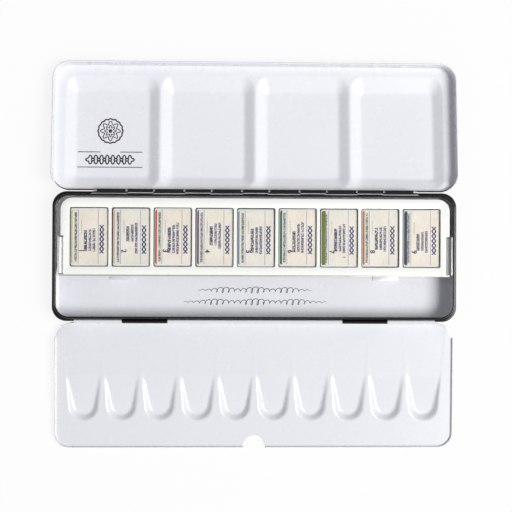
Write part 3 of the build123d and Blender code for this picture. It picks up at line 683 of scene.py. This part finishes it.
def make_print_group():
    """Generic print on a wrapper: a coloured strip at the left edge, two thin rules, and rows of
    short irregular dashes and a chain of lozenges between them. Bands are compared with the place
    across the wrapper; dashes are a noise cut at a level."""
    tree, given, result = new_group(
        "wrapper print",
        [("Centre", "NodeSocketVector", (0.0, 0.0, 0.0)), ("Strip Width", "NodeSocketFloat", 1.0),
         ("Strip Colour", "NodeSocketColor", (1.0, 0.5, 0.1, 1.0)), ("Seed", "NodeSocketFloat", 0.0),
         ("Paper", "NodeSocketColor", (0.8, 0.75, 0.7, 1.0))],
        [("Colour", "NodeSocketColor"), ("Ink", "NodeSocketFloat")])
    place = add_node(tree, "TexCoord").outputs["Object"]
    moved = add_node(tree, "VectorMath", {0: place, 1: given["Centre"]}, operation="SUBTRACT").outputs["Vector"]
    sides = add_node(tree, "SeparateXYZ", {"Vector": moved}).outputs
    x = calc(tree, "ADD", calc(tree, "MULTIPLY", sides["X"], 1000.0), PAPER_LEFT)
    y = calc(tree, "MULTIPLY", sides["Y"], 1000.0)
    cell = add_node(tree, "CombineXYZ", {"X": x, "Y": calc(tree, "MULTIPLY", y, 1.55), "Z": given["Seed"]})
    fleck = add_node(tree, "TexNoise", {"Vector": cell.outputs["Vector"], "Scale": 1.5, "Detail": 1.2}).outputs["Fac"]
    lines = add_node(tree, "TexNoise", {"Vector": add_node(tree, "CombineXYZ", {"Y": y, "Z": given["Seed"]})
                                        .outputs["Vector"], "Scale": 0.17, "Detail": 1.0}).outputs["Fac"]

    def band(value, middle, half):
        return calc(tree, "COMPARE", value, middle, half)

    def both(*masks):
        found = masks[0]
        for mask in masks[1:]:
            found = calc(tree, "MULTIPLY", found, mask)
        return found

    def row(middle, half, low, high, level, ragged=0.0):
        reach = calc(tree, "ADD", y, calc(tree, "MULTIPLY", calc(tree, "SUBTRACT", lines, 0.5), ragged))
        return both(band(x, middle, half), band(reach, (low + high) / 2, (high - low) / 2),
                    calc(tree, "GREATER_THAN", fleck, level))

    shade = blend_colour(tree, calc(tree, "MULTIPLY", calc(tree, "LESS_THAN", x, 3.9), 0.55), given["Paper"],
                         colour(214, 217, 205))
    end = calc(tree, "GREATER_THAN", calc(tree, "ABSOLUTE", calc(tree, "ADD", y, -0.1)), 14.15)
    shade = blend_colour(tree, end, shade, colour(232, 230, 224))
    inked = calc(tree, "SUBTRACT", 1.0, end)
    rules = both(calc(tree, "ADD", band(x, 4.05, 0.13), band(x, 14.4, 0.13), clamp=True), inked)
    shade = blend_colour(tree, calc(tree, "MULTIPLY", rules, 0.9), shade, colour(116, 116, 160))
    caps = row(2.75, 0.62, -13.0, 13.0, 0.43)
    shade = blend_colour(tree, calc(tree, "MULTIPLY", caps, 0.9), shade, colour(70, 84, 92))
    dots = both(band(x, 5.75, 0.19), band(y, 5.4, 3.4),
                calc(tree, "GREATER_THAN", calc(tree, "SINE", calc(tree, "MULTIPLY", y, 6.6)), 0.1))
    shade = blend_colour(tree, calc(tree, "MULTIPLY", dots, 0.85), shade, colour(60, 64, 96))
    first = row(7.8, 0.85, -6.5, 4.5, 0.42, 16.0)
    shade = blend_colour(tree, calc(tree, "MULTIPLY", first, 0.95), shade, colour(50, 50, 92))
    later = calc(tree, "ADD", row(10.1, 0.7, -6.5, 6.0, 0.43, 16.0), row(12.2, 0.7, -7.5, 7.0, 0.43, 18.0),
                 clamp=True)
    shade = blend_colour(tree, calc(tree, "MULTIPLY", later, 0.9), shade, colour(66, 66, 112))
    wave = calc(tree, "ABSOLUTE", calc(tree, "SINE", calc(tree, "MULTIPLY", y, 1.25)))
    offset = calc(tree, "ABSOLUTE", calc(tree, "SUBTRACT", x, 16.2))
    chain = both(calc(tree, "LESS_THAN", calc(tree, "ABSOLUTE", calc(tree, "SUBTRACT", offset,
                                                                    calc(tree, "MULTIPLY", wave, 0.85))), 0.42),
                 band(y, -1.2, 7.4))
    shade = blend_colour(tree, calc(tree, "MULTIPLY", chain, 0.95), shade, colour(34, 42, 104))
    strip = calc(tree, "LESS_THAN", x, given["Strip Width"])
    shade = blend_colour(tree, calc(tree, "MULTIPLY", strip, inked), shade, given["Strip Colour"])
    tree.links.new(shade, result["Colour"])
    tree.links.new(calc(tree, "ADD", calc(tree, "ADD", strip, chain), rules, clamp=True), result["Ink"])
    return tree


def new_material(name, values):
    """A material with one Principled BSDF; the values are set on its own sockets."""
    material = bpy.data.materials.new(name)
    material.use_nodes = True
    shader = material.node_tree.nodes["Principled BSDF"]
    for label, value in values.items():
        shader.inputs[label].default_value = value
    return material, material.node_tree, shader


def make_enamel(name, light, dark, film, coat=0.3, worn=None, wear=None, fold_shade=None):
    """Enamelled sheet: two close tones, specks, and rubbed edges where they are given. The last argument
    puts painted shade on it: a grey line along X, at the given place across and half width, and greyer low down."""
    material, tree, shader = new_material(name, {"IOR": 1.5, "Coat Weight": coat, "Coat Roughness": 0.08})
    film = place_group(tree, enamel_film, film)
    tone = blend_colour(tree, film["Tone"], colour(*light), colour(*dark))
    tone = blend_colour(tree, film["Speck"], tone, colour(*(c * 0.8 for c in dark)))
    roughness = film["Roughness"]
    if worn:
        mask = place_group(tree, edge_wear, wear)["Mask"]
        tone = blend_colour(tree, mask, tone, colour(*worn))
        roughness = calc(tree, "ADD", roughness, calc(tree, "MULTIPLY", mask, 0.2))
    if fold_shade:
        place = add_node(tree, "SeparateXYZ", {"Vector": add_node(tree, "TexCoord").outputs["Object"]}).outputs
        # Painted shade: a grey line along X at the holder's front bend, above 11.2 mm.
        line = calc(tree, "COMPARE", place["Y"], fold_shade[0] * MM, fold_shade[1] * MM)
        line = calc(tree, "MULTIPLY", line, calc(tree, "GREATER_THAN", place["Z"], 0.0112))
        tone = blend_colour(tree, calc(tree, "MULTIPLY", line, 0.85), tone, colour(142, 142, 134))
        # Painted shade: greyer towards the bottom, fully grey at 4 mm and below and fading out by 10.5 mm, so the
        # holder's feet sit in shade.
        tone = blend_colour(tree, span(tree, place["Z"], 0.004, 0.0105, 1.0, 0.0), tone, colour(206, 208, 212))
    tree.links.new(tone, shader.inputs["Base Color"])
    tree.links.new(roughness, shader.inputs["Roughness"])
    tree.links.new(film["Normal"], shader.inputs["Normal"])
    return material


def make_grained(name, light, dark, values, grain):
    """A dry finish: two tones and a bump from the fine grain."""
    material, tree, shader = new_material(name, values)
    found = place_group(tree, fine_grain, grain)
    tone = span(tree, found["Tone"], 0.35, 0.65)
    tree.links.new(blend_colour(tree, tone, colour(*light), colour(*dark)), shader.inputs["Base Color"])
    tree.links.new(calc(tree, "MULTIPLY_ADD", tone, 0.15, values["Roughness"] - 0.07), shader.inputs["Roughness"])
    tree.links.new(found["Normal"], shader.inputs["Normal"])
    return material


STRIPS = [
    (1.0, (206, 184, 40)), (0.9, (222, 128, 80)), (1.35, (196, 52, 22)), (1.35, (84, 44, 104)),
    (1.05, (66, 92, 132)), (1.6, (30, 104, 80)), (2.5, (104, 118, 52)), (1.6, (182, 112, 58)),
    (2.1, (52, 56, 82)),
]


def printed_paper(number, middle):
    """Thin coated paper: its print, a faint fibre, and a tone that differs a little from pan to pan."""
    width, strip = STRIPS[number - 1]
    material, tree, shader = new_material(f"wrapping paper {number}", {"IOR": 1.45})
    warm = 3 * math.sin(number * 2.3)
    grain = place_group(tree, fine_grain, {"Scale": 1300.0, "Depth": 0.25, "Stretch": 0.3})
    paper = blend_colour(tree, span(tree, grain["Tone"], 0.38, 0.62), colour(232 + warm / 2, 226, 214 - warm / 2),
                         colour(224 + warm / 2, 217, 203 - warm / 2))
    found = place_group(tree, wrapper_print, {
        "Centre": (middle[0] * MM, middle[1] * MM, 0.0), "Strip Width": width, "Strip Colour": colour(*strip),
        "Seed": number * 3.7, "Paper": paper})
    tree.links.new(found["Colour"], shader.inputs["Base Color"])
    tree.links.new(calc(tree, "MULTIPLY_ADD", found["Ink"], -0.12, 0.5), shader.inputs["Roughness"])
    tree.links.new(grain["Normal"], shader.inputs["Normal"])
    return material


def make_steel(name, shade):
    """Drawn metal: fine lines along X, as a stretched noise in roughness and bump."""
    material, tree, shader = new_material(name, {"Metallic": 1.0, "Base Color": colour(*shade)})
    place = add_node(tree, "TexCoord").outputs["Object"]
    pulled = add_node(tree, "Mapping", {"Vector": place, "Scale": (0.02, 1.0, 1.0)}).outputs["Vector"]
    lines = add_node(tree, "TexNoise", {"Vector": pulled, "Scale": 6000.0, "Detail": 3.0}).outputs["Fac"]
    tree.links.new(span(tree, lines, 0.3, 0.7, 0.28, 0.5), shader.inputs["Roughness"])
    bump = add_node(tree, "Bump", {"Strength": 0.2, "Distance": 0.00005, "Height": lines})
    tree.links.new(bump.outputs["Normal"], shader.inputs["Normal"])
    return material


enamel_film = make_enamel_group()
edge_wear = make_wear_group()
fine_grain = make_grain_group()
wrapper_print = make_print_group()

PALE_FILM = {"Peel Depth": 0.03, "Rough Low": 0.268, "Rough High": 0.282, "Speck Share": 0.15}
DARK_FILM = {"Peel Depth": 0.05, "Rough Low": 0.12, "Rough High": 0.2, "Speck Share": 0.5}
RUBBED = {"Start": 0.56, "End": 0.7, "Amount": 0.3}
white_enamel = make_enamel("white enamel", (233, 234, 239), (232, 233, 238), PALE_FILM, 0.3,
                           (205, 204, 208), RUBBED)
flap_enamel = make_enamel("flap enamel", (224, 226, 230), (223, 225, 229), PALE_FILM, 0.3,
                          (214, 213, 216), RUBBED)
tray_enamel = make_enamel("tray enamel", (226, 227, 232), (225, 226, 231), PALE_FILM, 0.3,
                          (200, 199, 204), RUBBED)
flap_back = make_enamel("flap back enamel", (226, 226, 232), (221, 221, 228), PALE_FILM, 0.25, (190, 189, 192),
                        RUBBED)
# The ivory enamel carries painted shade along the holder's front bend and towards its feet.
ivory_enamel = make_enamel("ivory enamel", (247, 248, 243), (245, 246, 241), PALE_FILM, 0.3, (214, 212, 202),
                           RUBBED, (-9.95, 0.42))
black_enamel = make_enamel("black enamel", (18, 16, 15), (14, 13, 12), DARK_FILM, 0.1, (80, 76, 72),
                           {"Start": 0.56, "End": 0.7, "Amount": 0.35})
# A black finish that is painted shade, for the gaps round the pans.
gap_shade_black = make_enamel("painted gap shade", (16, 14, 13), (12, 11, 10),
                       {"Peel Depth": 0.05, "Rough Low": 0.6, "Rough High": 0.8, "Speck Share": 0.5}, 0.0)
print_ink = make_grained("print ink", (46, 44, 52), (58, 56, 66), {"Roughness": 0.55},
                         {"Scale": 1800.0, "Depth": 0.1})
cup_plastic = make_grained("cup plastic", (232, 231, 226), (222, 221, 216), {"Roughness": 0.42},
                           {"Scale": 1200.0, "Depth": 0.15})
steel_wire = make_steel("steel wire", (214, 213, 212))
tab_steel = make_steel("tab steel", (172, 173, 170))


# ---------------------------------------------------------------- printed ornament
def line_strip(path, width, height, closed=False):
    """A flat line: each point of the path is moved to both sides along the path's own normal."""
    path = np.asarray(path, dtype=float)
    width = np.broadcast_to(width, len(path))[:, None]
    if closed:
        ahead, behind = np.roll(path, -1, axis=0), np.roll(path, 1, axis=0)
        way = ahead - behind
    else:
        way = np.gradient(path, axis=0)
    way = way / np.maximum(np.linalg.norm(way, axis=1, keepdims=True), 1e-9)
    side = np.stack([-way[:, 1], way[:, 0]], axis=-1) * width / 2
    right, left = path - side, path + side
    flat = np.concatenate([right, left])
    points = np.column_stack([flat, np.full(len(flat), height)])
    count = len(path)
    first = np.arange(count if closed else count - 1)
    following = (first + 1) % count
    faces = np.stack([first, following, following + count, first + count], axis=-1)
    return points, faces


def scroll_rule(middle_x, middle_y, length, height):
    """A plain ornamental rule: loops of a trochoid that swell and fade along a line."""
    t = np.linspace(-1, 1, 1200)
    swell = np.sqrt(np.clip(1 - np.abs(t) ** 3, 0, 1))
    turn = 2 * np.pi * t * length / 2 / 3.1
    size = swell * (0.8 + 0.35 * np.cos(11 * t))
    x = middle_x + t * length / 2 + (0.95 * np.sin(turn) + 0.35 * np.cos(turn)) * size
    y = middle_y + 1.45 * np.cos(turn) * size
    return line_strip(np.column_stack([x, y]), 0.16 + 0.2 * swell, height)


def ring_line(centre, radius, waves, depth, width, height):
    """A closed line whose radius swings by the given depth, so many times round."""
    turn = np.linspace(0, 2 * np.pi, 192, endpoint=False)
    reach = radius * (1 + depth * np.cos(waves * turn))
    path = np.column_stack([centre[0] + reach * np.cos(turn), centre[1] + reach * np.sin(turn)])
    return line_strip(path, width, height, closed=True)


def make_ornament():
    """Printed marks of no maker: a rosette over two rules in the lid's first well, and two scroll
    rules on the floor of the brush compartment."""
    height = LID_PLATE - WELL_DEPTH + 0.03
    centre = (-76.6, 33.0)
    parts = [
        ring_line(centre, 6.4, 16, 0.03, 0.75, height),
        ring_line(centre, 4.3, 8, 0.22, 0.5, height),
        ring_line(centre, 2.4, 8, 0.3, 0.45, height),
        ring_line(centre, 0.5, 1, 0, 1.0, height),
    ]
    for start, stop, reach in ((-17, -5.2, 21.7), (5.2, 17, 21.7), (-17, 17, 13.6)):
        t = np.linspace(start, stop, 40)
        parts.append(line_strip(np.column_stack([centre[0] + t, reach + 0 * t]), 0.42, height))
    for place in np.linspace(-10.4, 10.4, 8):
        parts.append(ring_line((centre[0] + place, 17.6), 1.75, 4, 0.3, 0.7, height))
    points, faces = join(parts)
    piece = make_piece("lid_ornament", on_lid(points), faces, [print_ink], "lid_body")
    give_thickness(piece, 0.02)
    height = SHEET + 0.03
    points, faces = join([scroll_rule(0.3, -17.6, 60, height), scroll_rule(0.3, -23.9, 76, height)])
    piece = make_piece("floor_ornament", points, faces, [print_ink], "tray_body")
    give_thickness(piece, 0.02)


# ---------------------------------------------------------------- the tin
make_lid_shell()
make_flap_sheet()
make_tray_shell()
make_holder_frame()
for pan_number in range(1, 10):
    make_wrapper(pan_number)
make_ornament()

PAINTS = [(206, 180, 60), (214, 124, 84), (178, 48, 28), (84, 50, 112), (58, 86, 150), (36, 104, 78), (104, 112, 56),
          (168, 106, 62), (48, 58, 88)]


def dress(node, material):
    """Gives a carried-over solid its finish."""
    mesh = frame["nodes"][node].data
    mesh.materials.clear()
    mesh.materials.append(material)


for pin in ("lid_hinge_pin", "flap_hinge_pin"):
    dress(pin, steel_wire)
for pan_number, shade in enumerate(PAINTS, 1):
    dress(f"pan_{pan_number}", cup_plastic)
    dress(f"paint_{pan_number}", make_grained(f"paint {pan_number}", shade, tuple(c * 0.86 for c in shade),
                                              {"Roughness": 0.6}, {"Scale": 500.0, "Depth": 0.5}))


# ---------------------------------------------------------------- stage, light and camera
WORLD_LIGHT = 0.28


def make_floor():
    """A broad pale floor. The camera and mirror rays see it nearly white, with the tin's shadow."""
    material = bpy.data.materials.new("pale floor")
    material.use_nodes = True
    tree = material.node_tree
    shader = tree.nodes["Principled BSDF"]
    shader.inputs["Base Color"].default_value = colour(232, 232, 234)
    shader.inputs["Roughness"].default_value = 0.8
    shader.inputs["Specular IOR Level"].default_value = 0.1
    rays = add_node(tree, "LightPath").outputs
    seen = calc(tree, "MAXIMUM", rays["Is Camera Ray"], calc(tree, "MAXIMUM", rays["Is Glossy Ray"],
                                                             rays["Is Transmission Ray"]))
    glow = add_node(tree, "Emission", {"Color": (1.0, 1.0, 1.0, 1.0), "Strength": 1.0})
    mixed = add_node(tree, "MixShader", {0: calc(tree, "MULTIPLY", seen, 0.88), 1: shader.outputs["BSDF"],
                                         2: glow.outputs["Emission"]})
    tree.links.new(mixed.outputs["Shader"], tree.nodes["Material Output"].inputs["Surface"])
    mesh = bpy.data.meshes.new("floor")
    reach = np.linspace(-4, 4, 9)
    x, y = np.meshgrid(reach, reach)
    points = np.stack([x.ravel(), y.ravel(), np.zeros(x.size)], axis=-1)
    mesh.from_pydata(points.tolist(), [], grid_faces(9, 9).tolist())
    mesh.materials.append(material)
    floor = bpy.data.objects.new("floor", mesh)
    bpy.context.scene.collection.objects.link(floor)


def make_world():
    """An even pale sky that the camera sees as white."""
    world = bpy.data.worlds.new("studio")
    world.use_nodes = True
    tree = world.node_tree
    sky = tree.nodes["Background"]
    seen = add_node(tree, "LightPath").outputs["Is Camera Ray"]
    tree.links.new(calc(tree, "MULTIPLY_ADD", seen, 1.0 - WORLD_LIGHT, WORLD_LIGHT), sky.inputs["Strength"])
    sky.inputs["Color"].default_value = (0.98, 0.98, 1.0, 1.0)
    bpy.context.scene.world = world


def make_lamp(name, place, size, power):
    """A square soft box that looks at the tin's middle."""
    data = bpy.data.lights.new(name, "AREA")
    data.size = size
    data.energy = power
    lamp = bpy.data.objects.new(name, data)
    lamp.location = place
    lamp.rotation_euler = (-Vector(place)).to_track_quat("-Z", "Y").to_euler()
    bpy.context.scene.collection.objects.link(lamp)


make_floor()
make_world()
make_lamp("key", (1.5, -0.45, 2.3), 1.3, 75)
make_lamp("front", (-0.3, -2.4, 1.2), 2.4, 7)

lens = bpy.data.cameras.new("camera")
lens.lens = 79.29
lens.sensor_width = 36
lens.sensor_fit = "HORIZONTAL"
lens.clip_start = 0.01
camera = bpy.data.objects.new("camera", lens)
bpy.context.scene.collection.objects.link(camera)
camera.matrix_world = (Matrix.Translation((-0.01849, -0.00577, 0.600))
                       @ Matrix.Rotation(math.radians(0.602), 4, "X")
                       @ Matrix.Rotation(math.radians(-1.829), 4, "Y")
                       @ Matrix.Rotation(math.radians(0.247), 4, "Z"))
bpy.context.scene.camera = camera
bpy.context.scene.view_settings.view_transform = "Standard"
